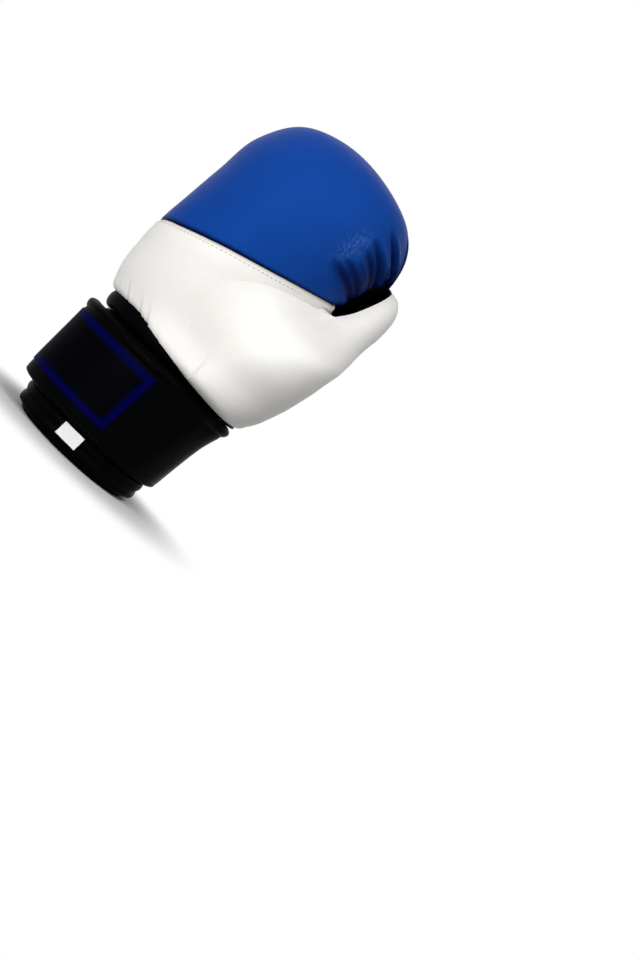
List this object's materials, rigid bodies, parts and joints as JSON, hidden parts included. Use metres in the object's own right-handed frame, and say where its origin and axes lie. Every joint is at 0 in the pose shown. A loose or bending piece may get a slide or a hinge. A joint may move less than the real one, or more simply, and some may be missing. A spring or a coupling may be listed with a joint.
{
  "type": "boxing glove",
  "caption": "Left-hand padded boxing glove with a closed fist, hinged padded thumb, rolled cuff and hook-and-loop wrist strap.",
  "frame": {"origin": "middle of the wrist opening, on the flat rim of the cuff", "axes": "+Z from the cuff rim to the fist's crown, -Y out of the back of the hand, +X towards the thumb"},
  "size_m": [0.1435, 0.143, 0.252],
  "materials": {
    "blue_leather": "satin",
    "white_leather": "satin",
    "black_leather": "satin",
    "foam": "matte",
    "lining": "matte",
    "elastic": "matte",
    "tape": "matte",
    "badge_leather": "satin",
    "tag_cloth": "matte"
  },
  "bodies": {
    "glove": {"knuckle_panel": "blue_leather", "back_panel": "white_leather", "palm_panel": "black_leather", "thumb_seat_panel": "black_leather", "knuckle_foam": "foam", "back_foam": "foam", "palm_foam": "foam", "thumb_seat_foam": "foam", "grip_bar": "foam", "hand_lining": "lining", "thumb_heel_panel": "white_leather", "thumb_heel_foam": "foam", "wrist_band": "black_leather", "cuff_cover": "black_leather", "cuff_foam": "foam", "cuff_lining": "lining", "cuff_hem": "black_leather", "elastic_gusset": "elastic", "loop_tape": "tape", "strap_anchor": "black_leather"},
    "strap_wrap": {"strap_wrap_cover": "black_leather", "strap_wrap_core": "foam", "strap_wrap_lining": "black_leather"},
    "strap_end": {"strap_end_cover": "black_leather", "strap_end_core": "foam", "hook_tape": "tape", "strap_badge": "badge_leather"},
    "thumb": {"thumb_panel": "white_leather", "thumb_foam": "foam", "thumb_inner_panel": "white_leather"},
    "tag": {"size_tag": "tag_cloth"}
  },
  "joints": [
    {"name": "thumb_flex", "type": "hinge", "parent": "glove", "child": "thumb", "pos_m": [0.0828, 0, 0.1219], "axis": [0, 1, 0], "range_deg": [0, 12], "stiffness_Nm_per_rad": 0.3},
    {"name": "strap_root", "type": "hinge", "parent": "glove", "child": "strap_wrap", "pos_m": [-0.0103, 0.0419, 0.047], "axis": [0, 0, 1], "range_deg": [0, 50]},
    {"name": "strap_bend", "type": "hinge", "parent": "strap_wrap", "child": "strap_end", "pos_m": [0.0278, -0.0424, 0.047], "axis": [0, 0, 1], "range_deg": [0, 110]},
    {"name": "tag_flap", "type": "hinge", "parent": "glove", "child": "tag", "pos_m": [0.0035, -0.0426, 0.0158], "axis": [-1, 0, 0], "range_deg": [0, 90]}
  ],
  "couplings": [
    {"joint": "strap_bend", "follows": "strap_root", "ratio": 2.2}
  ]
}
